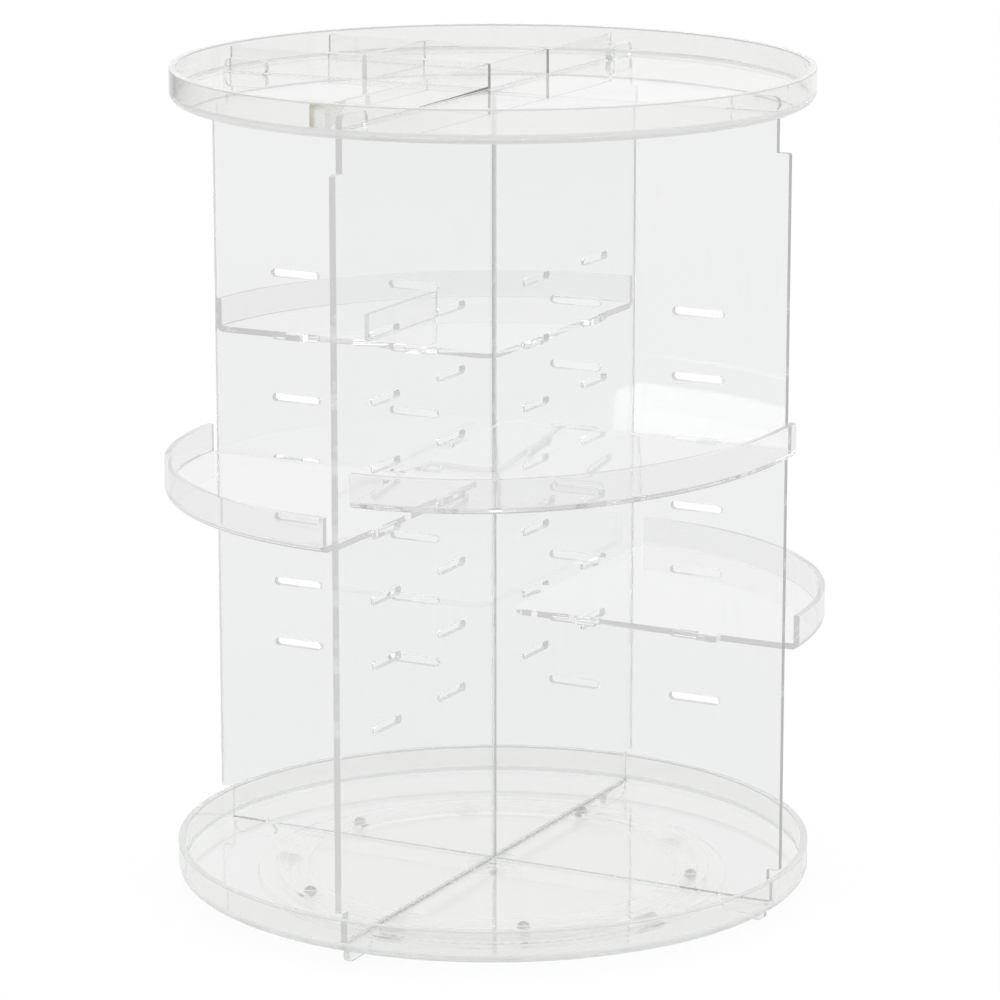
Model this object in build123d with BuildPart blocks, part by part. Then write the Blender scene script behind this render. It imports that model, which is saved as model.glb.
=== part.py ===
"""Clear acrylic revolving tower for cosmetics: two crossed slotted panels between two round
trays, four quarter round shelves hooked into the slots, and a ball turntable below."""

import os
from math import cos, radians, sqrt, tan

from build123d import *

os.makedirs("parts", exist_ok=True)

# Round trays
base_tray_radius = 117.5
top_tray_inset = 1.0         # the top tray's radius is this much less than the base tray's
tray_height = 12.3
tray_floor = 2.5
rim_thickness = 2.3
rim_outer_round = 4.0        # between the rim's outside and the underside
rim_inner_round = 1.0        # between the rim's inside and the floor
edge_round = 0.5             # softened edges of moulded pieces

# Crossed panels
panel_thickness = 2.5
panel_height = 286.2         # from the base tray's floor to the top tray's underside
panel_rim_inset = 0.1        # from the base tray's outside to a panel's upright edge
panel_foot_gap = 2.6         # from the base tray's rim to the panel's foot inside it
panel_foot_height = 12.0
panel_corner_round = 0.8
lap_clearance = 0.05         # between one panel and the cut in the other

# Locking heads, which the panels put through the tray floors
head_inset = 14.5            # from the base tray's outside to the middle of a head
head_length = 17.6
head_height = 5.2
head_round = 2.3
neck_length = 13.0
neck_clearance = 0.1         # on each side, across the panel's thickness
head_slot_play = 1.6         # a floor slot is this much longer than the head at each end

# Slots in the panels, for the tongues of the shelves
slot_rows = 7
slot_pitch = 23.7
slot_length = 20.0
slot_height = 3.1
slot_rise = 0.5              # the middle row stands this far above the panel's middle
inner_slot_centre = 34.0
outer_slot_centre = 82.8

# Quarter round shelves
shelf_overhang = 0.5         # a shelf's radius is this much more than the base tray's
shelf_height = 12.7
shelf_floor = 2.3
shelf_gap = 0.5              # from a straight edge to the panel beside it, pushed home
shelf_corner_round = 7.0
shelf_outer_round = 3.0
shelf_inner_round = 1.5
tongue_length = 8.0
tongue_reach = 4.3           # from the shelf's straight edge to a tongue's tip
tongue_round = 1.2
tongue_rest = 0.1            # from the slot's lower side to the tongue in it

# Where each shelf stands: how many slot rows down, and how far it is pulled out
back_shelf_rows_down = 2
back_shelf_shift = (-0.5, 0.7)
front_shelf_rows_down = 3
front_shelf_shift = (4.2, 0.0)
left_shelf_rows_down = 4
left_shelf_shift = (-2.0, -1.3)
right_shelf_rows_down = 6
right_shelf_shift = (4.8, 0.0)
front_shelf_droop = 3.7      # degrees, hooked on one side only

# Upright dividers
divider_thickness = 2.0
divider_top_gap = 0.5        # below the top of the rim
divider_rim_gap = 0.1        # from a divider's end to the rounding inside the rim
divider_corner_round = 0.3
long_divider_offset = 3.5    # from the axis to the middle of the divider
long_divider_back_gap = 11.0     # from the rounding inside the rim to its back end
side_divider_end_gap = 1.7       # from the rounding inside the rim to its outer end
rear_divider_end_gap = 5.3
side_divider_offset = 3.5
rear_divider_offset = 50.0
short_divider_offset = 55.0
shelf_divider_offset = 54.5  # from the shelf's corner point
shelf_divider_length = 53.0
shelf_divider_top_gap = 0.3

# Turntable
ball_diameter = 5.0
ball_count = 5
first_ball_angle = 90.0
ball_clearance = 0.05        # between a ball and the surfaces it runs on
race_radius = 75.0
race_depth = 2.0
race_clearance = 0.1
plate_overhang = 13.0        # the plate's radius is this much more than the race's
plate_thickness = 3.0
plate_edge_round = 0.8
cage_width = 12.0
cage_thickness = 1.4
cage_pocket_clearance = 0.15
cage_edge_chamfer = 0.2
foot_count = 5
foot_radius = 5.0
foot_height = 1.5
foot_offset = 3.0            # the feet stand on a circle this much wider than the race
foot_round = 0.4

# Pivot, a boss under the base tray that turns in a collar on the plate
pivot_radius = 5.5
pivot_clearance = 0.05
pivot_end_gap = 0.1          # from the washer to the plate that it holds
collar_radius = 11.0
collar_gap = 0.7             # from the collar to the base tray's underside
collar_edge_round = 0.6
washer_radius = 7.6
washer_thickness = 0.8
washer_side_clearance = 0.5
recess_depth = 1.1
screw_radius = 1.4
screw_hole_clearance = 0.05
screw_length = 6.0           # from the washer to the tip
screw_tip_gap = 0.3
screw_tip_chamfer = 0.5
screw_head_radius = 3.0
screw_head_height = 1.3
screw_head_round = 0.6
cross_length = 3.4           # cross recess in the screw's head
cross_width = 0.8
cross_depth = 0.6

# Sizes that follow from the base tray's radius
top_tray_radius = base_tray_radius - top_tray_inset
panel_half_width = base_tray_radius - panel_rim_inset
panel_foot_half_width = base_tray_radius - rim_thickness - panel_foot_gap
head_centre = base_tray_radius - head_inset
shelf_radius = base_tray_radius + shelf_overhang

# Sizes that follow from the ball race's radius
plate_radius = race_radius + plate_overhang
foot_circle_radius = race_radius + foot_offset

# Places that follow from the sizes, upwards from the table
plate_top = foot_height + plate_thickness
base_underside = plate_top - race_depth + ball_diameter
base_floor_top = base_underside + tray_floor
panel_middle = base_floor_top + panel_height / 2
top_underside = base_floor_top + panel_height
top_floor_top = top_underside + tray_floor
top_rim = top_underside + tray_height
ball_centre = base_underside - ball_diameter / 2
ball_radius = ball_diameter / 2 - ball_clearance
cage_bottom = (plate_top + base_underside - cage_thickness) / 2
recess_top = foot_height + recess_depth
boss_bottom = recess_top - pivot_end_gap
washer_bottom = boss_bottom - washer_thickness
screw_head_bottom = washer_bottom - screw_head_height
half_panel = panel_thickness / 2
shelf_edge = half_panel + shelf_gap
lap_width = panel_thickness + 2 * lap_clearance


def save(piece, name):
    """Label a finished piece and write its file."""
    piece.part.label = name
    export_step(piece.part, f"parts/{name}.step")


def draw_tray_profile(radius, height, floor, outer_round, inner_round):
    """Half section of a round tray, drawn from its axis at the underside."""
    with BuildLine() as outline:
        Polyline(
            (0, 0),
            (radius, 0),
            (radius, height),
            (radius - rim_thickness, height),
            (radius - rim_thickness, floor),
            (0, floor),
            close=True,
        )
    profile = make_face(outline.edges())
    outer = profile.vertices().group_by(Axis.X)[-1].sort_by(Axis.Y)
    inner = profile.vertices().group_by(Axis.X)[-2].sort_by(Axis.Y)
    fillet(outer[0], radius=outer_round)
    fillet(inner[0], radius=inner_round)
    fillet([outer[-1], inner[-1]], radius=min(edge_round, 0.4 * rim_thickness))


def cut_head_slots(underside):
    """Four slots through a round tray's floor, where the panels' heads pass."""
    with BuildSketch(Plane.XY.offset(underside)) as slots:
        with PolarLocations(head_centre, 4):
            Rectangle(head_length + 2 * head_slot_play, panel_thickness + 2 * neck_clearance)
    extrude(slots.sketch, amount=tray_floor, mode=Mode.SUBTRACT)


# Turntable plate: a disc with a ball race, a raised collar, and a recess for the washer
with BuildPart() as turntable_plate:
    with BuildSketch(Plane.XY.offset(foot_height)):
        Circle(plate_radius)
    extrude(amount=plate_thickness)
    with BuildSketch(Plane.XY.offset(plate_top)):
        Circle(collar_radius)
    extrude(amount=base_underside - collar_gap - plate_top)
    outer_edges = turntable_plate.edges().filter_by(GeomType.CIRCLE).group_by(SortBy.RADIUS)[-1]
    fillet(outer_edges, radius=min(plate_edge_round, 0.4 * plate_thickness))
    collar_top = turntable_plate.faces().sort_by(Axis.Z)[-1]
    fillet(collar_top.edges(), radius=collar_edge_round)
    with BuildSketch(Plane.XY.offset(foot_height)):
        Circle(pivot_radius + pivot_clearance)
    extrude(amount=base_underside - foot_height, mode=Mode.SUBTRACT)
    with BuildSketch(Plane.XY.offset(foot_height)):
        Circle(washer_radius + washer_side_clearance)
    extrude(amount=recess_depth, mode=Mode.SUBTRACT)
    with BuildSketch(Plane.XZ):
        with Locations((race_radius, ball_centre)):
            Circle(ball_diameter / 2 + race_clearance)
    revolve(axis=Axis.Z, mode=Mode.SUBTRACT)
save(turntable_plate, "turntable_plate")

# Soft feet under the plate, halfway between the balls
for number in range(1, foot_count + 1):
    turn = (number - 0.5) * 360 / foot_count
    with BuildPart() as foot:
        with BuildSketch():
            with PolarLocations(foot_circle_radius, 1, start_angle=first_ball_angle + turn):
                Circle(foot_radius)
        extrude(amount=foot_height)
        fillet(foot.edges().group_by(Axis.Z)[0], radius=min(foot_round, 0.4 * foot_height))
    save(foot, f"foot_{number}")

# Ball cage: a thin ring with a round pocket for each ball
with BuildPart() as ball_cage:
    with BuildSketch(Plane.XY.offset(cage_bottom)):
        Circle(race_radius + cage_width / 2)
        Circle(race_radius - cage_width / 2, mode=Mode.SUBTRACT)
    extrude(amount=cage_thickness)
    chamfer(ball_cage.edges(), length=min(cage_edge_chamfer, 0.3 * cage_thickness))
    with BuildSketch(Plane.XY.offset(cage_bottom)):
        with PolarLocations(race_radius, ball_count, start_angle=first_ball_angle):
            Circle(ball_radius + cage_pocket_clearance)
    extrude(amount=cage_thickness, mode=Mode.SUBTRACT)
save(ball_cage, "ball_cage")

# Steel balls
for number in range(1, ball_count + 1):
    turn = (number - 1) * 360 / ball_count
    with BuildPart(Plane.XY.offset(ball_centre)) as ball:
        with PolarLocations(race_radius, 1, start_angle=first_ball_angle + turn):
            Sphere(ball_radius)
    save(ball, f"ball_{number}")

# Base tray with the boss that it turns on
with BuildPart() as base_tray:
    with BuildSketch(Plane.XZ.shift_origin((0, 0, base_underside))):
        draw_tray_profile(
            base_tray_radius, tray_height, tray_floor, rim_outer_round, rim_inner_round
        )
    revolve(axis=Axis.Z)
    with BuildSketch(Plane.XY.offset(boss_bottom)):
        Circle(pivot_radius)
    extrude(amount=base_underside - boss_bottom)
    with BuildSketch(Plane.XY.offset(boss_bottom)):
        Circle(screw_radius + screw_hole_clearance)
    extrude(amount=screw_length + screw_tip_gap, mode=Mode.SUBTRACT)
    cut_head_slots(base_underside)
save(base_tray, "base_tray")

# Washer that keeps the plate on the boss
with BuildPart() as pivot_washer:
    with BuildSketch(Plane.XY.offset(washer_bottom)):
        Circle(washer_radius)
        Circle(screw_radius + screw_hole_clearance, mode=Mode.SUBTRACT)
    extrude(amount=washer_thickness)
save(pivot_washer, "pivot_washer")

# Pan head screw with a cross recess
with BuildPart() as pivot_screw:
    with BuildSketch(Plane.XY.offset(screw_head_bottom)):
        Circle(screw_head_radius)
    extrude(amount=screw_head_height)
    head_edge = pivot_screw.edges().sort_by(Axis.Z)[0]
    fillet(head_edge, radius=min(screw_head_round, 0.5 * screw_head_height))
    with BuildSketch(Plane.XY.offset(screw_head_bottom)):
        Rectangle(cross_length, cross_width)
        Rectangle(cross_width, cross_length)
    extrude(amount=cross_depth, mode=Mode.SUBTRACT)
    with BuildSketch(Plane.XY.offset(washer_bottom)):
        Circle(screw_radius)
    extrude(amount=washer_thickness + screw_length)
    tip_edge = pivot_screw.edges().sort_by(Axis.Z)[-1]
    chamfer(tip_edge, length=min(screw_tip_chamfer, 0.4 * screw_radius))
save(pivot_screw, "pivot_screw")


def slot_row_middle(row):
    """Height of the middle of a slot row, counted from 1 at the top."""
    return panel_middle + slot_rise + ((slot_rows + 1) / 2 - row) * slot_pitch


def draw_panel():
    """A panel's outline with its heads and slots, drawn from the axis at table height."""
    shoulder_height = panel_height - 2 * panel_foot_height
    corner = min(head_round, 0.45 * head_height)
    with Locations((0, panel_middle)):
        RectangleRounded(2 * panel_half_width, shoulder_height, panel_corner_round)
        Rectangle(2 * panel_foot_half_width, panel_height)
    for side in (-head_centre, head_centre):
        with Locations((side, base_underside + tray_floor / 2), (side, top_floor_top - tray_floor / 2)):
            Rectangle(neck_length, tray_floor)
        with Locations((side, base_underside - head_height / 2), (side, top_floor_top + head_height / 2)):
            RectangleRounded(head_length, head_height, corner)
    for row in range(1, slot_rows + 1):
        for reach in (inner_slot_centre, outer_slot_centre):
            with Locations((-reach, slot_row_middle(row)), (reach, slot_row_middle(row))):
                SlotOverall(slot_length, slot_height, mode=Mode.SUBTRACT)


# Panel from left to right, cut from the top down to its middle
with BuildPart() as panel_side:
    with BuildSketch(Plane.XZ):
        draw_panel()
        with Locations((0, panel_middle)):
            Rectangle(lap_width, panel_height, align=(Align.CENTER, Align.MIN), mode=Mode.SUBTRACT)
    extrude(amount=half_panel, both=True)
save(panel_side, "panel_side")

# Panel from front to back, cut from the bottom up to its middle
with BuildPart() as panel_front:
    with BuildSketch(Plane.YZ):
        draw_panel()
        with Locations((0, panel_middle)):
            Rectangle(lap_width, panel_height, align=(Align.CENTER, Align.MAX), mode=Mode.SUBTRACT)
    extrude(amount=half_panel, both=True)
save(panel_front, "panel_front")

# Top tray
with BuildPart() as top_tray:
    with BuildSketch(Plane.XZ.shift_origin((0, 0, top_underside))):
        draw_tray_profile(
            top_tray_radius, tray_height, tray_floor, rim_outer_round, rim_inner_round
        )
    revolve(axis=Axis.Z)
    cut_head_slots(top_underside)
save(top_tray, "top_tray")


def reach_to_rim(offset):
    """How far a divider at this offset from the axis runs, to the rounding inside the rim."""
    far_edge = offset + divider_thickness / 2
    inner_radius = top_tray_radius - rim_thickness
    return sqrt(inner_radius**2 - far_edge**2) - rim_inner_round - divider_rim_gap


def make_top_divider(name, low, high):
    """A flat strip standing on the top tray's floor, between two corners of its plan."""
    middle = ((low[0] + high[0]) / 2, (low[1] + high[1]) / 2)
    with BuildPart() as divider:
        with BuildSketch(Plane.XY.offset(top_floor_top)):
            with Locations(middle):
                Rectangle(high[0] - low[0], high[1] - low[1])
        extrude(amount=top_rim - divider_top_gap - top_floor_top)
        upper_edges = divider.edges().group_by(Axis.Z)[-1]
        fillet(upper_edges, radius=divider_corner_round)
    save(divider, name)


half_divider = divider_thickness / 2
long_divider_face = -long_divider_offset - half_divider
make_top_divider(
    "divider_long",
    (long_divider_face, -reach_to_rim(long_divider_offset)),
    (-long_divider_offset + half_divider, reach_to_rim(long_divider_offset) - long_divider_back_gap),
)
make_top_divider(
    "divider_side",
    (side_divider_end_gap - reach_to_rim(side_divider_offset), side_divider_offset - half_divider),
    (long_divider_face, side_divider_offset + half_divider),
)
make_top_divider(
    "divider_rear",
    (rear_divider_end_gap - reach_to_rim(rear_divider_offset), rear_divider_offset - half_divider),
    (long_divider_face, rear_divider_offset + half_divider),
)
make_top_divider(
    "divider_short",
    (-short_divider_offset - half_divider, side_divider_offset + half_divider),
    (-short_divider_offset + half_divider, rear_divider_offset - half_divider),
)


def shelf_plane(row, shift, turn, droop=0.0):
    """Plane of a shelf's underside, from its corner point, with x along its first straight edge.

    A level shelf rests on the lower side of its slots. A drooping one is hooked along the side
    panel only, and its tongues bear up against the upper side of the slots.
    """
    slot_middle = slot_row_middle(row)
    height = slot_middle - slot_height / 2 + tongue_rest
    if droop > 0:
        tongue_rise = half_panel * tan(radians(droop)) + shelf_floor / cos(radians(droop))
        height = slot_middle + slot_height / 2 - tongue_rest - tongue_rise
    return Plane((shift[0], shift[1], height)).rotated((droop, 0, turn))


def make_shelf(name, plane):
    """Quarter of a round tray with two tongues on each straight edge, which hook into slots."""
    section = Plane(origin=plane.origin, x_dir=plane.x_dir, z_dir=-plane.y_dir)
    with BuildPart() as shelf:
        with BuildSketch(section):
            draw_tray_profile(
                shelf_radius, shelf_height, shelf_floor, shelf_outer_round, shelf_inner_round
            )
        revolve(axis=Axis(plane.origin, plane.z_dir))
        with BuildSketch(plane):
            with Locations((shelf_edge, shelf_edge)):
                RectangleRounded(
                    2 * shelf_radius,
                    2 * shelf_radius,
                    shelf_corner_round,
                    align=(Align.MIN, Align.MIN),
                )
        extrude(amount=shelf_height, mode=Mode.INTERSECT)
        with BuildSketch(plane):
            for along in (inner_slot_centre, outer_slot_centre):
                with Locations((along, shelf_edge)):
                    RectangleRounded(tongue_length, 2 * tongue_reach, tongue_round)
                with Locations((shelf_edge, along)):
                    RectangleRounded(2 * tongue_reach, tongue_length, tongue_round)
        extrude(amount=shelf_floor)
    save(shelf, name)


back_plane = shelf_plane(back_shelf_rows_down, back_shelf_shift, 90)
make_shelf("shelf_back", back_plane)
make_shelf("shelf_left", shelf_plane(left_shelf_rows_down, left_shelf_shift, 180))
make_shelf("shelf_right", shelf_plane(right_shelf_rows_down, right_shelf_shift, 0))
make_shelf("shelf_front", shelf_plane(front_shelf_rows_down, front_shelf_shift, -90, front_shelf_droop))

# Divider glued into the back shelf
with BuildPart() as shelf_divider:
    with BuildSketch(back_plane.offset(shelf_floor)):
        with Locations((shelf_edge + shelf_divider_length / 2, shelf_divider_offset)):
            Rectangle(shelf_divider_length, divider_thickness)
    extrude(amount=shelf_height - shelf_floor - shelf_divider_top_gap)
    fillet(shelf_divider.edges().group_by(Axis.Z)[-1], radius=divider_corner_round)
save(shelf_divider, "shelf_back_divider")
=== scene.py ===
# %% [markdown]
# # A clear revolving tower for cosmetics
#
# The object is a tower of clear acrylic: two round trays, two crossed sheets with rows of slots,
# four quarter round shelves and a ball turntable. Its solids are already packed at true size, so
# this lesson loads them, gives each one its finish, adds the small things that a maker's hands
# leave behind, and lights the whole for a catalogue picture.

import math

import bpy
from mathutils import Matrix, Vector


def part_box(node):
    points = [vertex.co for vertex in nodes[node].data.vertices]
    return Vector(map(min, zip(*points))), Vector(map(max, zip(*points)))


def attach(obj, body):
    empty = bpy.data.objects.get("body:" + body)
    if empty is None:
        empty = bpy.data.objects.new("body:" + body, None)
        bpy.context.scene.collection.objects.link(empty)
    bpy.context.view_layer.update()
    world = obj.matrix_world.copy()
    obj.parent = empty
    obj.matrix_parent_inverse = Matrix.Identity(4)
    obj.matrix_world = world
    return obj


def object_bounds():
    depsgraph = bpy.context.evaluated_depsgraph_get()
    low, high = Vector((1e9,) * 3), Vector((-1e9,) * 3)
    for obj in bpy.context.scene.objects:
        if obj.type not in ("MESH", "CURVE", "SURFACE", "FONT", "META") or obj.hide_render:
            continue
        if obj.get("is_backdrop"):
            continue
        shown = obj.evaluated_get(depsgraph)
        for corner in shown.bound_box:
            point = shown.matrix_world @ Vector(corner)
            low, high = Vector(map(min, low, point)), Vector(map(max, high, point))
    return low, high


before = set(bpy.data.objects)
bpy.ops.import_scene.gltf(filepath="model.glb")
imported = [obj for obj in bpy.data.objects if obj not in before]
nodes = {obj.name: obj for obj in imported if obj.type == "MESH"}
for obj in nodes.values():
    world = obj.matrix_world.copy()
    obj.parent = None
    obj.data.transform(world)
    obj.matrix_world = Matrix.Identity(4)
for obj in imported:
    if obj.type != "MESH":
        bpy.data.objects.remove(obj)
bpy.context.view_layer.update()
scene = bpy.context.scene
mm = 0.001

# %% [markdown]
# ## The camera
#
# The picture was taken with a long lens from a little above the top tray, so upright edges stay
# nearly parallel. A camera could be placed by eye, but its place was worked out instead from
# points of known size on the tower, and then only its direction is left to set.

# %% Camera
camera_place = Vector((743.4, -1420.9, 521.6)) * mm
camera_azimuth = math.radians(27.526)
camera_pitch = math.radians(13.14)
lens_data = bpy.data.cameras.new("long_lens")
lens_data.lens = 161.1
lens_data.sensor_width = 36.0
lens_data.clip_start = 0.05
lens_data.clip_end = 60.0
camera = bpy.data.objects.new("camera", lens_data)
scene.collection.objects.link(camera)
looking = Vector((-math.sin(camera_azimuth) * math.cos(camera_pitch),
                  math.cos(camera_azimuth) * math.cos(camera_pitch),
                  -math.sin(camera_pitch)))
camera.location = camera_place
camera.rotation_mode = "QUATERNION"
camera.rotation_quaternion = looking.to_track_quat("-Z", "Y")
scene.camera = camera
print("camera to the axis in mm:", round(camera_place.xy.length / mm))

# %% [markdown]
# ## Shader sums written as Python
#
# A node tree is easier to read as a sum than as wires. A small class holds one output socket and
# lets the usual signs add Math nodes behind it. Every other node comes from one method, which
# takes the node's type, its settings, and what goes into its sockets.

# %% Sockets that can be reckoned with
class Value:
    """One output socket, on which + - * / work."""

    def __init__(self, recipe, socket):
        self.recipe, self.socket = recipe, socket

    def sum(self, operation, first, second):
        return self.recipe.node("Math", {"operation": operation}, {0: first, 1: second})[0]

    def __add__(self, other):
        return self.sum("ADD", self, other)

    def __radd__(self, other):
        return self.sum("ADD", other, self)

    def __sub__(self, other):
        return self.sum("SUBTRACT", self, other)

    def __rsub__(self, other):
        return self.sum("SUBTRACT", other, self)

    def __mul__(self, other):
        return self.sum("MULTIPLY", self, other)

    def __rmul__(self, other):
        return self.sum("MULTIPLY", other, self)

    def __truediv__(self, other):
        return self.sum("DIVIDE", self, other)


class Made:
    """A node just made; its outputs are had by name or number."""

    def __init__(self, recipe, node):
        self.recipe, self.node = recipe, node

    def __getitem__(self, name):
        return Value(self.recipe, self.node.outputs[name])


class Recipe:
    """The node tree of one finish, or of the world."""

    def __init__(self, owner):
        owner.use_nodes = True
        self.tree = owner.node_tree
        self.tree.nodes.clear()

    def node(self, kind, settings=None, sockets=None):
        made = self.tree.nodes.new("ShaderNode" + kind)
        for name, value in (settings or {}).items():
            if name == "stops":
                ramp = made.color_ramp.elements
                while len(ramp) < len(value):
                    ramp.new(1.0)
                for stop, (place, shade) in zip(ramp, value):
                    stop.position = place
                    stop.color = (*shade, 1.0)
            else:
                setattr(made, name, value)
        for name, value in (sockets or {}).items():
            if isinstance(value, Value):
                self.tree.links.new(value.socket, made.inputs[name])
            else:
                made.inputs[name].default_value = value
        return Made(self, made)

    def between(self, share, low, high):
        """A colour that goes from low to high as share goes from 0 to 1."""
        return self.node("Mix", {"data_type": "RGBA"}, {0: share, 6: low, 7: high})[2]

    def over(self, value, limit):
        """1 where value is over the limit, else 0."""
        return self.node("Math", {"operation": "GREATER_THAN"}, {0: value, 1: limit})[0]

    def step(self, value, start, end, low=0.0, high=1.0):
        """Value stretched so that start gives low and end gives high, and no further."""
        return self.node("MapRange", {"clamp": True},
                         {0: value, 1: start, 2: end, 3: low, 4: high})[0]


print("helpers ready")

# %% [markdown]
# ## Floor and surroundings
#
# A catalogue picture of clear acrylic is all about what shows through it and in it. The backdrop
# of such a picture is cut out to pure white, but through the sheets one still sees the studio's
# own pale grey. So the floor and the world are white for rays that come straight from the camera,
# and a shade darker for rays that passed through or off a surface. Far off, near the horizon, the
# surroundings get darker, which draws the edges of the acrylic. The floor keeps a share of plain
# matt white, and with it the shadow.

# %% World
world = bpy.data.worlds.new("studio")
scene.world = world
sky = Recipe(world)
ray = sky.node("LightPath")
up = sky.node("SeparateXYZ", None, {0: sky.node("TexCoord")["Generated"]})["Z"]
seen = sky.node("ValToRGB", {"stops": [
    (0.00, (0.62, 0.63, 0.63)), (0.06, (0.82, 0.82, 0.82)), (0.12, (0.97, 0.97, 0.97)),
    (0.27, (0.98, 0.98, 0.98)), (0.33, (0.95, 0.95, 0.95)), (0.52, (0.80, 0.80, 0.80)),
    (0.75, (0.86, 0.86, 0.86)), (1.00, (0.90, 0.90, 0.90)),
]}, {0: up})["Color"]
around = sky.node("Background", None, {"Color": seen, "Strength": 1.0})[0]
plain = sky.node("Background", None, {"Color": (1, 1, 1, 1), "Strength": 0.8})[0]
white = sky.node("Background", None, {"Color": (1, 1, 1, 1), "Strength": 1.0})[0]
lit = sky.node("MixShader", None, {0: ray["Is Diffuse Ray"], 1: around, 2: plain})[0]
shown = sky.node("MixShader", None, {0: ray["Is Camera Ray"], 1: lit, 2: white})[0]
sky.node("OutputWorld", None, {"Surface": shown})

# %% Floor
bpy.ops.object.select_all(action="DESELECT")
bpy.ops.mesh.primitive_plane_add(size=40.0, location=(0, 0, 0))
floor = bpy.context.object
floor.name = "floor"
floor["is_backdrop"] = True
floor_finish = bpy.data.materials.new("pale_floor")
ground = Recipe(floor_finish)
ray = ground.node("LightPath")
place = ground.node("TexCoord")["Object"]
away = ground.node("VectorMath", {"operation": "LENGTH"}, {0: place})["Value"]
matt_until, matt_ends, most_matt, horizon = 0.4, 1.6, 0.2, 12.0
matt_share = ground.step(away, matt_until, matt_ends, most_matt, 0.0)
glow = ground.node("ValToRGB", {"stops": [
    (0.004, (0.848, 0.85, 0.848)), (0.025, (0.82, 0.824, 0.824)), (0.13, (0.918, 0.921, 0.921)),
    (0.25, (0.905, 0.908, 0.908)), (1.0, (0.60, 0.605, 0.61)),
]}, {0: away / horizon})["Color"]
to_the_right = (math.cos(camera_azimuth), math.sin(camera_azimuth), 0)
across = ground.node("VectorMath", {"operation": "DOT_PRODUCT"},
                     {0: place, 1: to_the_right})["Value"]
left_dark, right_dark = (0.50, 0.50, 0.50, 1), (0.70, 0.70, 0.70, 1)
glow = ground.between(ground.step(across, -0.35, -1.0), glow, left_dark)
glow = ground.between(ground.step(across, 0.9, 2.0), glow, right_dark)
glow = ground.between(ray["Is Camera Ray"], glow, (1, 1, 1, 1))
chalk = ground.node("BsdfDiffuse", None, {"Color": (0.97, 0.97, 0.97, 1), "Roughness": 1.0})[0]
shine = ground.node("Emission", None, {"Color": glow, "Strength": 1.0})[0]
both = ground.node("MixShader", None, {0: 1 - matt_share, 1: chalk, 2: shine})[0]
ground.node("OutputMaterial", None, {"Surface": both})
floor.data.materials.append(floor_finish)
print("floor reaches in m:", floor.dimensions.x / 2)

# %% [markdown]
# ## Lamps
#
# Two broad soft lamps stand in for softboxes: one overhead, and one at the front on the left. They
# put long quiet glints on rims and edges, and stay weak enough for colours to show as written.

# %% Softboxes
def hang_softbox(name, place, aim, width, height, power):
    """A rectangular lamp that faces a point."""
    data = bpy.data.lights.new(name, "AREA")
    data.shape = "RECTANGLE"
    data.size, data.size_y = width, height
    data.energy = power
    lamp = bpy.data.objects.new(name, data)
    scene.collection.objects.link(lamp)
    lamp.location = place
    lamp.rotation_euler = (Vector(aim) - Vector(place)).to_track_quat("-Z", "Y").to_euler()


middle = (0.0, 0.0, 0.15)
hang_softbox("overhead_softbox", (0.2, 0.3, 2.6), middle, 3.6, 3.6, 36.0)
hang_softbox("front_softbox", (-0.55, -2.05, 0.35), middle, 0.7, 0.3, 1.6)
print("lamps:", len(bpy.data.lights))

# %% [markdown]
# ## Clear acrylic
#
# Acrylic bends light a little less than glass and is almost without colour; only where one looks
# into an edge does it turn faintly grey green. One recipe makes every clear finish. Its faces are
# polished, with hair scratches from handling that catch light. Roundings that look away from the
# axis gather the dark of the room and are drawn darker. The sawn edges of sheets and the ends of
# strips are duller, and so are the hollows at the feet of the trays' rims, where polish never
# quite reaches. The sheets' +x end carries painted shade, and the strip ends are painted dark,
# except those facing -y, which are painted pale. The lips of the rims are matt and painted grey,
# as a painted shade line. A Transparent shader lets lamps through, because a real tower throws
# hardly any shadow. A ray that has bounced too often inside ends in a plain grey.

# %% Clear finishes
acrylic_bend = 1.49
deepest = 12
tray_height, tray_floor = 12.3 * mm, 2.5 * mm
rim_thickness, rim_round, lip_height, hollow_height = 2.3 * mm, 4.0 * mm, 0.6 * mm, 1.0 * mm
trapped_light = (0.50, 0.505, 0.50)
shaded_round = (0.80, 0.805, 0.795, 1)
# How matt sawn edges, a rim's lip, its hollow, and its rounding seen from inside are
sawn_share, lip_share, hollow_share, curl_share = 0.55, 0.7, 0.75, 0.6


def from_axis(mix, place):
    """The level vector from the tower's axis to a place."""
    return mix.node("VectorMath", {"operation": "MULTIPLY"}, {0: place, 1: (1, 1, 0)})[0]


def matt(mix, shade):
    """A matt surface of one shade."""
    return mix.node("BsdfPrincipled", None, {
        "Base Color": shade, "Roughness": 1.0, "Specular IOR Level": 0.0})[0]


def size_of(mix, value):
    """A number without its sign."""
    return mix.node("Math", {"operation": "ABSOLUTE"}, {0: value})[0]


def sawn_grey_and_painted_shade(mix, place):
    """Cut edge grey: darker in the upper lap at the axis, and painted shade at the +x end."""
    lower_lap, upper_lap = (0.82, 0.825, 0.815, 1), (0.58, 0.585, 0.58, 1)
    # Painted shade: the sheets' +x end is drawn darker than the other cut edges.
    cut_edge, shaded_far_edge = (0.83, 0.835, 0.825, 1), (0.50, 0.505, 0.50, 1)
    out = mix.node("VectorMath", {"operation": "LENGTH"}, {0: from_axis(mix, place)})["Value"]
    apart = mix.node("SeparateXYZ", None, {0: place})
    lap = mix.between(mix.step(apart["Z"], 145 * mm, 160 * mm), lower_lap, upper_lap)
    shade = mix.between(mix.step(out, 6 * mm, 12 * mm), lap, cut_edge)
    return mix.between(mix.step(apart["X"], 100 * mm, 115 * mm), shade, shaded_far_edge)


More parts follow.
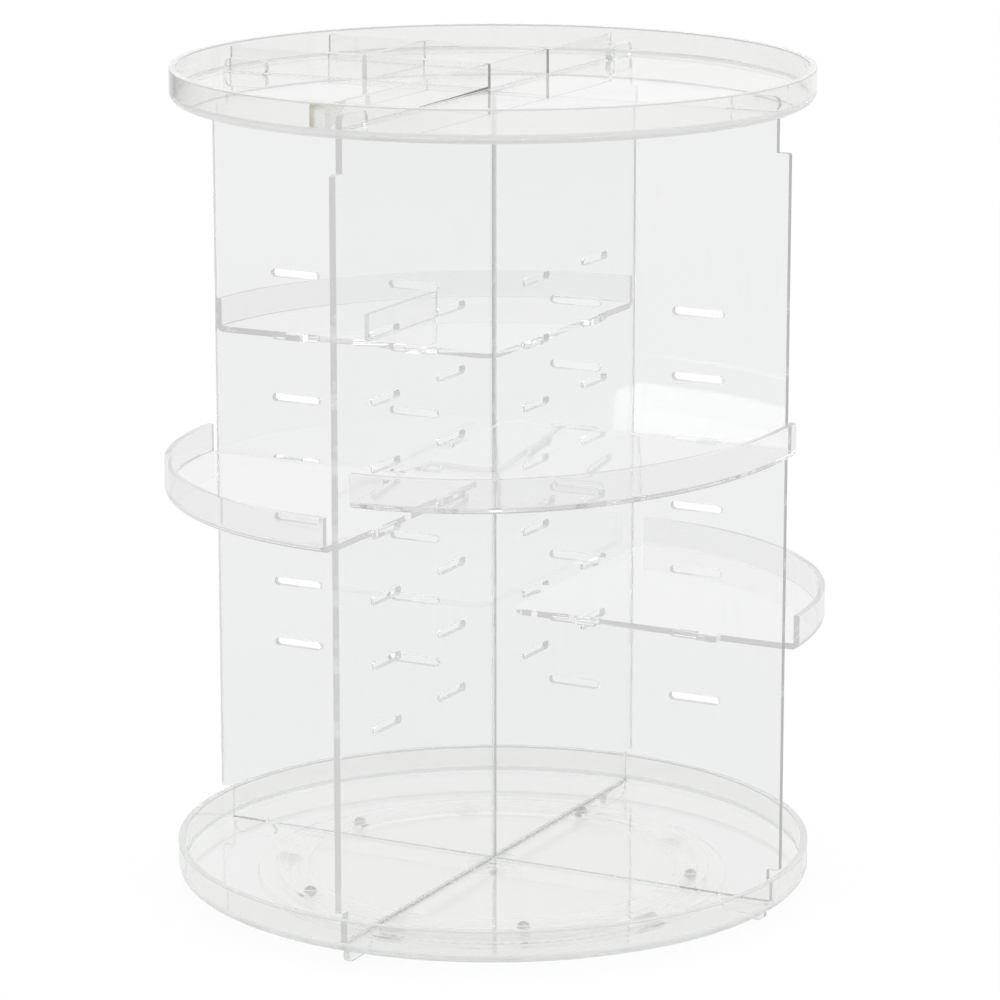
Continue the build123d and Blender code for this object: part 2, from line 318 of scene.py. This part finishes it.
def clear_finish(name, tint, side_tint, flat_axis=None, end_axis=None, sawn=False, swirl=False,
                 dull=0.0, wear=0.06, waves=0.0, rim=None, trapped=trapped_light):
    """Acrylic with scratches.

    Faces that don't face along flat_axis take the side tint; faces along end_axis are dull ends
    with painted light and shade. With a tray's radius and top given as rim, its lower rounding is
    painted darker seen from outside and satin seen from inside; the hollow at the rim's foot is
    satin, and the lip is satin and painted grey as a shade line.
    """
    finish = bpy.data.materials.new(name)
    mix = Recipe(finish)
    place = mix.node("TexCoord")["Object"]
    if swirl:
        apart = mix.node("SeparateXYZ", None, {0: place})
        out = mix.node("VectorMath", {"operation": "LENGTH"}, {0: from_axis(mix, place)})["Value"]
        turn = mix.node("Math", {"operation": "ARCTAN2"}, {0: apart["Y"], 1: apart["X"]})[0]
        lines_at = mix.node("CombineXYZ", None,
                            {0: out * 900.0, 1: turn * 1.6, 2: apart["Z"] * 40.0})[0]
    else:
        lines_at = mix.node("Mapping", None, {
            "Vector": place, "Rotation": (0.3, 0.5, 0.9), "Scale": (500, 30, 60)})[0]
    lines = mix.node("TexNoise", None,
                     {"Vector": lines_at, "Scale": 1.0, "Detail": 1.0, "Roughness": 0.6})["Fac"]
    hair = mix.step(lines, 0.60, 0.72)
    clouds = mix.node("TexNoise", None, {"Vector": place, "Scale": 22.0, "Detail": 1.0})["Fac"]
    worn = hair * mix.step(clouds, 0.45, 0.75)
    rough = dull + wear * worn
    colour = mix.between(worn, (*tint, 1), tuple(0.97 * c for c in tint) + (1,))
    normal = mix.node("TexCoord")["Normal"]
    if flat_axis is not None:
        facing = size_of(mix, mix.node("SeparateXYZ", None, {0: normal})[flat_axis])
        side = mix.step(facing, 0.3, 0.7, 1.0, 0.0)
        colour = mix.between(side, colour, (*side_tint, 1))
    if rim is not None:
        radius, top = rim
        height = apart["Z"] - (top - tray_height)
        curl = mix.step(out - radius - height, 0.1 * mm - rim_round, 0.6 * mm - rim_round)
        curl_inside = curl * mix.node("NewGeometry")["Backfacing"]
        curl = curl - curl_inside
        lip = mix.step(height, tray_height - lip_height, tray_height - lip_height + 0.1 * mm)
        hollow_top = tray_floor + hollow_height
        hollow = (mix.step(height, tray_floor + 0.03 * mm, tray_floor + 0.1 * mm)
                  * mix.step(height, hollow_top, hollow_top + 0.3 * mm, 1.0, 0.0)
                  * (1 - mix.over(out, radius - rim_thickness + 0.1 * mm)))
        rough = rough + 0.3 * curl
        colour = mix.between(curl, colour, shaded_round)
    elif flat_axis == 2:
        rounds = mix.step(facing, 0.06, 0.2) * mix.step(facing, 0.85, 0.97, 1.0, 0.0)
        away = mix.node("VectorMath", {"operation": "DOT_PRODUCT"},
                        {0: normal, 1: from_axis(mix, place)})["Value"]
        colour = mix.between(rounds * mix.over(away, 0.0), colour, shaded_round)
    if end_axis is not None:
        facing = mix.node("SeparateXYZ", None, {0: normal})[end_axis]
        side = mix.step(size_of(mix, facing), 0.3, 0.7)
        # Painted light and shade on strip ends: ends facing -y are painted pale, all others dark.
        shaded_end = (0.42, 0.42, 0.415, 1)
        ends = shaded_end if end_axis == 0 else mix.between(
            mix.step(facing, -0.5, 0.5), (0.97, 0.97, 0.96, 1), shaded_end)
    if sawn:
        rough = rough + 0.06 * side
    relief = mix.node("Bump", None, {"Height": clouds + 0.02 * worn, "Strength": 0.25,
                                     "Distance": 0.04 * mm + waves})["Normal"]
    body = mix.node("BsdfPrincipled", None, {
        "Base Color": colour, "Roughness": rough, "IOR": acrylic_bend,
        "Transmission Weight": 1.0, "Normal": relief})[0]
    if sawn:
        shade = sawn_grey_and_painted_shade(mix, place) if end_axis is None else ends
        body = mix.node("MixShader", None,
                        {0: side * sawn_share, 1: body, 2: matt(mix, shade)})[0]
    if rim is not None:
        # Painted shade: the matt lip is drawn grey, a shade line along the rim's top; the hollow
        # and the inside rounding stay pale matt.
        shade = mix.between(lip, (0.97, 0.97, 0.965, 1), (0.74, 0.745, 0.735, 1))
        share = lip_share * lip + hollow_share * hollow + curl_share * curl_inside
        body = mix.node("MixShader", None, {0: share, 1: body, 2: matt(mix, shade)})[0]
    ray = mix.node("LightPath")
    through = mix.node("BsdfTransparent", None, {"Color": (0.94, 0.95, 0.945, 1)})[0]
    lets = mix.node("MixShader", None, {0: ray["Is Shadow Ray"], 1: body, 2: through})[0]
    lets = mix.node("MixShader", None, {0: ray["Is Diffuse Ray"], 1: lets, 2: through})[0]
    lost = mix.over(ray["Ray Depth"], deepest)
    trapped = mix.node("Emission", None, {"Color": (*trapped, 1), "Strength": 1.0})[0]
    lets = mix.node("MixShader", None, {0: lost, 1: lets, 2: trapped})[0]
    mix.node("OutputMaterial", None, {"Surface": lets})
    return finish


sheet_tint, sawn_tint = (0.982, 0.984, 0.985), (0.925, 0.926, 0.918)
tray_tint, rim_tint = (0.986, 0.986, 0.976), (0.948, 0.948, 0.935)
strip_tint, pale_trapped = (0.972, 0.973, 0.971), (0.78, 0.78, 0.77)
finishes = {
    "panel_side": clear_finish("sheet_along_x", sheet_tint, sawn_tint, flat_axis=1, sawn=True,
                               wear=0.02),
    "panel_front": clear_finish("sheet_along_y", sheet_tint, sawn_tint, flat_axis=0, sawn=True,
                                wear=0.02),
    "shelf": clear_finish("moulded_shelf", (0.986, 0.987, 0.985), (0.942, 0.944, 0.94), flat_axis=2,
                          waves=0.3 * mm, trapped=(0.62, 0.62, 0.615)),
    "strip_x": clear_finish("strip_along_x", strip_tint, sawn_tint, end_axis=0, sawn=True,
                            trapped=pale_trapped),
    "strip_y": clear_finish("strip_along_y", strip_tint, sawn_tint, end_axis=1, sawn=True,
                            trapped=pale_trapped),
    "plate": clear_finish("turned_plate", (0.992, 0.992, 0.988), rim_tint, swirl=True, dull=0.02,
                          trapped=(0.80, 0.80, 0.79)),
}
for name in ("base_tray", "top_tray"):
    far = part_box(name)[1]
    finishes[name] = clear_finish("moulded_" + name, tray_tint, rim_tint, flat_axis=2, swirl=True,
                                  dull=0.01, waves=0.2 * mm, rim=(far.x, far.z),
                                  trapped=pale_trapped)
print("clear finishes:", len(finishes))

# %% [markdown]
# ## Steel, rubber and what goes where
#
# The turntable runs on five polished steel balls, and one small screw holds it together. The feet
# are soft and milky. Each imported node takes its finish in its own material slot.

# %% Steel and rubber
def steel_finish(name, shade, low, high):
    """Bright steel with fine wiping marks."""
    finish = bpy.data.materials.new(name)
    mix = Recipe(finish)
    place = mix.node("TexCoord")["Object"]
    marks = mix.node("TexNoise", None, {"Vector": place, "Scale": 900.0, "Detail": 4.0})["Fac"]
    colour = mix.between(marks, (*[0.9 * c for c in shade], 1), (*shade, 1))
    relief = mix.node("Bump", None, {"Height": marks, "Strength": 0.1,
                                     "Distance": 0.02 * mm})["Normal"]
    body = mix.node("BsdfPrincipled", None, {
        "Base Color": colour, "Metallic": 1.0, "Roughness": low + (high - low) * marks,
        "Normal": relief})[0]
    mix.node("OutputMaterial", None, {"Surface": body})
    return finish


finishes["ball"] = steel_finish("polished_steel", (0.32, 0.32, 0.33), 0.04, 0.12)
finishes["screw"] = steel_finish("zinc_steel", (0.80, 0.80, 0.79), 0.22, 0.38)
rubber = bpy.data.materials.new("milky_rubber")
mix = Recipe(rubber)
place = mix.node("TexCoord")["Object"]
grain = mix.node("TexNoise", None, {"Vector": place, "Scale": 700.0})["Fac"]
skin = mix.node("Bump", None, {"Height": grain, "Strength": 0.3,
                               "Distance": 0.05 * mm})["Normal"]
body = mix.node("BsdfPrincipled", None, {
    "Base Color": mix.between(grain, (0.95, 0.95, 0.94, 1), (0.98, 0.98, 0.97, 1)),
    "Roughness": 0.25 + 0.2 * grain, "IOR": 1.41, "Transmission Weight": 0.95, "Normal": skin})[0]
mix.node("OutputMaterial", None, {"Surface": body})
finishes["foot"] = rubber

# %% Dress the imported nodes
kind_of = {"turntable_plate": "plate", "ball_cage": "plate", "pivot_washer": "plate",
           "pivot_screw": "screw"}
for name, node in nodes.items():
    kind = name if name in finishes else kind_of.get(name, name.split("_")[0])
    if "divider" in name:
        low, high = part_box(name)
        kind = "strip_x" if high.x - low.x > high.y - low.y else "strip_y"
    node.data.materials[0] = finishes[kind]
print("dressed:", len(nodes))

# %% [markdown]
# ## Glue along the dividers
#
# The strips in the trays are stuck down with solvent cement, which creeps along the foot of each
# strip and dries as a thin, slightly wavy fillet. A curve with a round bevel could stand in for
# it, but a fillet has two flat sides and a hollow front. So a square bar is laid in the corner,
# its free edge is bevelled hollow, the bar is cut along its length, and the front is shaken a
# little. Where another strip butts against the face, the fillet stops and goes on behind it. Just
# before the crossing of the long strip the cement runs thick and is drawn dark.
# The panels are stuck to the base tray in the same way: along the front panel the cement is broad
# and grey, along the side panel it is thin, and darker only near the panel's two ends.

# %% Modelling helpers
def start_piece(name):
    """Names the newly added primitive, applies its size and place, and opens it for editing."""
    piece = bpy.context.object
    piece.name = name
    bpy.ops.object.transform_apply(location=True, rotation=True, scale=True)
    bpy.ops.object.mode_set(mode="EDIT")
    bpy.ops.mesh.select_mode(type="VERT")
    bpy.ops.mesh.select_all(action="DESELECT")
    return piece


def pick(piece, kind, test):
    """Selects the piece's vertices or edges whose middle and run pass the test."""
    bpy.ops.mesh.select_mode(type="VERT" if kind == "vertices" else "EDGE")
    bpy.ops.mesh.select_all(action="DESELECT")
    bpy.ops.object.mode_set(mode="OBJECT")
    mesh = piece.data
    for part in getattr(mesh, kind):
        if kind == "vertices":
            middle, run = part.co, Vector()
        else:
            ends = [mesh.vertices[v].co for v in part.vertices]
            middle, run = (ends[0] + ends[1]) / 2, ends[1] - ends[0]
        part.select = bool(test(middle, run))
    bpy.ops.object.mode_set(mode="EDIT")


def close_piece(piece, body, finish, angle=40):
    """Turns normals outward, smooths, and hands the piece to its body."""
    bpy.ops.mesh.select_all(action="SELECT")
    bpy.ops.mesh.remove_doubles(threshold=0.002 * mm)
    bpy.ops.mesh.normals_make_consistent(inside=False)
    bpy.ops.object.mode_set(mode="OBJECT")
    bpy.ops.object.shade_smooth_by_angle(angle=math.radians(angle))
    piece.data.materials.clear()
    piece.data.materials.append(finish)
    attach(piece, body)


def cuts_along(length):
    """How many cuts a fillet of this length gets."""
    return max(6, int(length / (5.0 * mm)))


clear_of = 0.02 * mm
hollow_depth, hollow_profile, shaken = 0.86, 0.18, 0.015


def lay_fillet(name, foot_start, foot_end, lean, body, finish, seed, size=0.3 * mm):
    """A hollow fillet along a foot; lean points from the upright face to the free side."""
    start, end, lean = Vector(foot_start), Vector(foot_end), Vector(lean)
    run = end - start
    middle = (start + end) / 2 + lean * (size / 2 + clear_of) + Vector((0, 0, size / 2 + clear_of))
    along_x = abs(run.x) > abs(run.y)
    bpy.ops.object.select_all(action="DESELECT")
    bpy.ops.mesh.primitive_cube_add(size=1.0, location=middle)
    bpy.context.object.scale = (run.length, size, size) if along_x else (size, run.length, size)
    bar = start_piece(name)
    free = middle + (lean + Vector((0, 0, 1))) * size / 2
    pick(bar, "edges", lambda m, r: r.length > size * 2
         and (m - free).cross(run).length / run.length < size * 0.1)
    bpy.ops.mesh.bevel(offset=size * hollow_depth, segments=4, profile=hollow_profile,
                       affect="EDGES")
    pick(bar, "edges", lambda m, r: r.length > run.length * 0.9)
    bpy.ops.mesh.subdivide(number_cuts=cuts_along(run.length))
    pick(bar, "vertices", lambda m, r: (m - middle).dot(lean) > -size * 0.4
         and m.z > middle.z - size * 0.4)
    bpy.ops.transform.vertex_random(offset=size * shaken, uniform=0.0, normal=0.0, seed=seed)
    close_piece(bar, body, finish)
    return bar


print("the gap left under glue in mm:", clear_of / mm)

# %% Cement finishes
def cement_finish(name, fresh, old, through_share, bend, pitted=0.3, dirt_from=None):
    """Dried solvent cement: cloudy in places, with pinhead bubbles.

    With a left edge's x and a top's z given as dirt_from, dirt has dried along those two edges.
    """
    finish = bpy.data.materials.new(name)
    mix = Recipe(finish)
    place = mix.node("TexCoord")["Object"]
    clouds = mix.node("TexNoise", None, {"Vector": place, "Scale": 260.0, "Detail": 3.0})["Fac"]
    pits = mix.node("TexVoronoi", None, {"Vector": place, "Scale": 900.0})["Distance"]
    bubble = mix.step(pits, 0.16, 0.24, 1.0, 0.0)
    colour = mix.between(mix.step(clouds, 0.35, 0.7), (*fresh, 1), (*old, 1))
    if dirt_from is not None:
        left, top = dirt_from
        apart = mix.node("SeparateXYZ", None, {0: place})
        beside = mix.step(apart["X"], left + 0.9 * mm, left + 2.4 * mm, 1.0, 0.0)
        under = (mix.step(apart["Z"], top - 2.6 * mm, top - 0.5 * mm)
                 * mix.step(apart["X"], left + 2.0 * mm, left + 6.0 * mm, 0.9, 0.3))
        dirty = (beside + under - beside * under) * mix.step(clouds, 0.3, 0.5, 0.75, 1.0)
        colour = mix.between(dirty, colour, (0.64, 0.62, 0.50, 1))
    relief = mix.node("Bump", None, {"Height": clouds - 0.5 * bubble, "Strength": 0.5,
                                     "Distance": 0.1 * mm * pitted})["Normal"]
    body = mix.node("BsdfPrincipled", None, {
        "Base Color": colour, "Roughness": 0.12 + 0.25 * clouds + 0.3 * bubble, "IOR": bend,
        "Transmission Weight": through_share, "Normal": relief})[0]
    mix.node("OutputMaterial", None, {"Surface": body})
    return finish


cement = cement_finish("dried_cement", (0.99, 0.99, 0.98), (0.96, 0.96, 0.95), 1.0, 1.04)
strip_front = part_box("divider_long")[0]
dab_width, dab_thickness, dab_height, dab_foot = 6.0 * mm, 0.5 * mm, 8.2 * mm, 0.7 * mm
old_cement = cement_finish(
    "yellowed_cement", (0.985, 0.98, 0.965), (0.97, 0.965, 0.94), 0.93, 1.06, pitted=0.1,
    dirt_from=(strip_front.x - dab_width, strip_front.z + dab_foot + dab_height))
grey_cement = cement_finish("greyed_cement", (0.975, 0.975, 0.967), (0.94, 0.94, 0.93),
                            0.95, 1.03)
# Cement drawn darker, for the side panel's foot near its two ends.
darker_cement = cement_finish("darker_cement", (0.84, 0.84, 0.83), (0.72, 0.72, 0.71),
                              0.85, 1.05)
# Cement drawn dark, for the thick seam before the crossing.
dark_cement = cement_finish("dark_cement", (0.34, 0.34, 0.33), (0.22, 0.22, 0.21), 0.5, 1.3)
for finish in (cement, old_cement, grey_cement, darker_cement, dark_cement):
    print("cement finish:", finish.name)

# %% Fillets along every strip
strips = ["divider_long", "divider_side", "divider_rear", "divider_short", "shelf_back_divider"]
tray_floor_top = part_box("divider_long")[0].z
thick_length = 51.8 * mm


def free_runs(start, end, taken):
    """The stretches from start to end that the taken intervals leave free."""
    runs = []
    for near, far in sorted(taken):
        runs.append((start, near))
        start = far
    return runs + [(start, end)]


def butting(strip, along, across, face):
    """The intervals along a strip's face where other strips butt against it."""
    start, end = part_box(strip)
    found = []
    for other in strips:
        low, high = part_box(other)
        level = abs(low.z - start.z) < 1.0 * mm
        touches = min(abs(low[across] - face), abs(high[across] - face)) < 0.1 * mm
        if level and touches and start[along] < low[along] and high[along] < end[along]:
            found.append((low[along] - clear_of, high[along] + clear_of))
    return found


fillets, inset = [], 1.2 * mm
for name in strips:
    low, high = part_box(name)
    along, across = (1, 0) if high.y - low.y > high.x - low.x else (0, 1)
    for side in (-1, 1):
        face = (low if side < 0 else high)[across]
        runs = free_runs(low[along] + inset, high[along] - inset,
                         butting(name, along, across, face))
        if name == "divider_long" and side < 0:
            thick_end = runs[0][1]
            runs[0] = (runs[0][0], thick_end - thick_length - 0.2 * mm)
        for number, (start, end) in enumerate(runs, 1):
            ends = [(at, face, low.z) if along == 0 else (face, at, low.z) for at in (start, end)]
            lean = (0, side, 0) if along == 0 else (side, 0, 0)
            body = "back_shelf" if name.startswith("shelf") else "tower"
            label = f"{name}_glue_{'near' if side < 0 else 'far'}_{number}"
            piece = lay_fillet(label, *ends, lean, body, cement, seed=len(fillets) + 3)
            fillets.append(piece)
print("fillets:", len(fillets), "faces:", sum(len(f.data.polygons) for f in fillets))

# %% The dark seam before the crossing
low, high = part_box("divider_long")
seam_start, seam_size, thin_share = thick_end - thick_length, 0.9 * mm, 0.25
seam = lay_fillet("crossing_glue_seam", (low.x, seam_start, low.z), (low.x, thick_end, low.z),
                  (-1, 0, 0), "tower", dark_cement, seed=31, size=seam_size)
bpy.ops.object.mode_set(mode="EDIT")
rows = cuts_along(thick_length) + 1
for row in range(rows + 1):
    y = seam_start + thick_length * row / rows
    pick(seam, "vertices", lambda m, r: abs(m.y - y) < 0.4 * mm)
    share = thin_share + (1.0 - thin_share) * (row / rows) ** 1.5
    bpy.ops.transform.resize(value=(share, 1.0, share), center_override=(low.x, y, low.z))
bpy.ops.object.mode_set(mode="OBJECT")
print("seam length in mm:", round(thick_length / mm, 1), "rows:", rows + 1)

# %% Fillets at the panels' feet
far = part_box("base_tray")[1]
tray_low = far.z - tray_height + tray_floor
reach, crossing = far.x - 5.2 * mm, 2.4 * mm
broad, medium, thin = 1.0 * mm, 0.5 * mm, 0.35 * mm
foot_runs = []
for face, lean in ((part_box("panel_front")[0].x, -1), (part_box("panel_front")[1].x, 1)):
    for start, end in ((-reach, -crossing), (crossing, reach)):
        foot_runs.append(("panel_front", (face, start), (face, end), (lean, 0, 0), broad,
                          grey_cement))
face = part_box("panel_side")[0].y
darker_until, darker_from, between_runs = -98 * mm, 78 * mm, 0.2 * mm
for start, end, size, finish in ((-reach, darker_until, medium, darker_cement),
                                 (darker_until + between_runs, -crossing, thin, cement),
                                 (crossing, darker_from - between_runs, thin, cement),
                                 (darker_from, reach, medium, darker_cement)):
    foot_runs.append(("panel_side", (start, face), (end, face), (0, -1, 0), size, finish))
for number, (name, start, end, lean, size, finish) in enumerate(foot_runs, 1):
    piece = lay_fillet(f"{name}_foot_glue_{number}", (*start, tray_low), (*end, tray_low), lean,
                       "tower", finish, seed=40 + number, size=size)
print("foot fillets:", len(foot_runs))

# %% [markdown]
# ## The dab at the front end
#
# At the front the long strip nearly meets the rim, and a dab of cement has filled the corner
# between them. It has crept along the inside of the rim as a thin upright tab and run down the
# strip's face. The tab is modelled as a small block, cut into a grid, drawn in a little at the
# top, and shaken.

# %% Dab of old cement
low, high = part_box("divider_long")
bpy.ops.object.select_all(action="DESELECT")
bpy.ops.mesh.primitive_cube_add(size=1.0, location=(
    low.x - 0.1 * mm - dab_width / 2, low.y + 0.35 * mm, low.z + dab_foot + dab_height / 2))
bpy.context.object.scale = (dab_width, dab_thickness, dab_height)
dab = start_piece("front_cement_dab")
pick(dab, "edges", lambda m, r: abs(r.y) < 0.05 * mm)
bpy.ops.mesh.subdivide(number_cuts=7)
top = low.z + dab_foot + dab_height
pick(dab, "vertices", lambda m, r: m.z > top - 0.2 * mm)
bpy.ops.transform.resize(value=(0.94, 0.6, 1.0))
bpy.ops.mesh.select_all(action="SELECT")
bpy.ops.transform.vertex_random(offset=0.025 * mm, seed=5)
close_piece(dab, "tower", old_cement, angle=60)
print("dab faces:", len(dab.data.polygons))

# %% Smear on the strip's face
smear_length, smear_height, smear_thickness = 11.0 * mm, 8.4 * mm, 0.2 * mm
smear_cuts, smear_taper = 7, 0.75
near, smear_top = low.y + 0.3 * mm, low.z + 0.75 * mm + smear_height
bpy.ops.object.select_all(action="DESELECT")
bpy.ops.mesh.primitive_cube_add(size=1.0, location=(
    low.x - 0.14 * mm, near + smear_length / 2, smear_top - smear_height / 2))
bpy.context.object.scale = (smear_thickness, smear_length, smear_height)
smear = start_piece("front_cement_smear")
pick(smear, "edges", lambda m, r: abs(r.x) < 0.05 * mm)
bpy.ops.mesh.subdivide(number_cuts=smear_cuts)
for cut in range(1, smear_cuts + 1):
    along = cut / (smear_cuts + 1)
    y = near + smear_length * along
    pick(smear, "vertices", lambda m, r: abs(m.y - y) < 0.2 * mm)
    share = 1.0 - smear_taper * along ** 1.5
    bpy.ops.transform.resize(value=(1.0, 1.0, share), center_override=(low.x, y, smear_top))
pick(smear, "vertices", lambda m, r: m.y > near + smear_length - 0.2 * mm)
bpy.ops.transform.resize(value=(1.0, 1.0, 0.2),
                         center_override=(low.x, near, low.z + smear_height))
pick(smear, "vertices", lambda m, r: m.x < low.x - 0.2 * mm)
bpy.ops.transform.vertex_random(offset=0.02 * mm, seed=9)
close_piece(smear, "tower", old_cement, angle=60)
print("smear faces:", len(smear.data.polygons))

# %% [markdown]
# ## Drops that fell beside the strips
#
# A few pinhead drops of cement dried where they fell. One is modelled: a ball is cut flat below,
# closed, pressed down and roughened. The others are copies, each with its own mesh.

# %% Cement drops
drop_places = [(-45.7, 61.5), (-0.9, 18.4), (22.0, 47.0), (-26.0, -46.0)]  # in mm
drop_sizes, drop_radius = [1.0, 0.8, 1.1, 0.7], 0.6 * mm
bpy.ops.object.select_all(action="DESELECT")
bpy.ops.mesh.primitive_ico_sphere_add(subdivisions=3, radius=drop_radius, location=(0, 0, 0))
drop = start_piece("cement_drop_1")
bpy.ops.mesh.select_all(action="SELECT")
bpy.ops.mesh.bisect(plane_co=(0, 0, 0), plane_no=(0, 0, 1), clear_inner=True, use_fill=True)
bpy.ops.mesh.select_all(action="SELECT")
bpy.ops.transform.resize(value=(1.0, 1.0, 0.5), center_override=(0, 0, 0))
pick(drop, "vertices", lambda m, r: m.z > 0.02 * mm)
bpy.ops.transform.vertex_random(offset=0.04 * mm, seed=2)
bpy.ops.object.mode_set(mode="OBJECT")
shape = drop.data.copy()
drops = [drop]
for number in range(2, len(drop_places) + 1):
    copy = bpy.data.objects.new(f"cement_drop_{number}", shape.copy())
    scene.collection.objects.link(copy)
    drops.append(copy)
for copy, (x, y), size in zip(drops, drop_places, drop_sizes):
    for vertex in copy.data.vertices:
        vertex.co = vertex.co * size + Vector((x * mm, y * mm, tray_floor_top + clear_of))
    bpy.ops.object.select_all(action="DESELECT")
    copy.select_set(True)
    bpy.context.view_layer.objects.active = copy
    bpy.ops.object.mode_set(mode="EDIT")
    close_piece(copy, "tower", cement, angle=60)
print("drops:", len(drops))

# %% [markdown]
# ## Light enough for clear things
#
# A ray that enters a tray, a shelf and two sheets crosses many surfaces before it leaves. With too
# few bounces it ends inside and paints black.

# %% Bounces and view
scene.cycles.max_bounces = 16
scene.cycles.transmission_bounces = 16
scene.cycles.glossy_bounces = 16
scene.cycles.diffuse_bounces = 2
scene.cycles.transparent_max_bounces = 32
scene.cycles.caustics_reflective = False
scene.cycles.caustics_refractive = False
scene.view_settings.view_transform = "Standard"

# %% Sizes
low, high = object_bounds()
print("visual box in mm:", [round(v / mm, 1) for v in (high - low)])
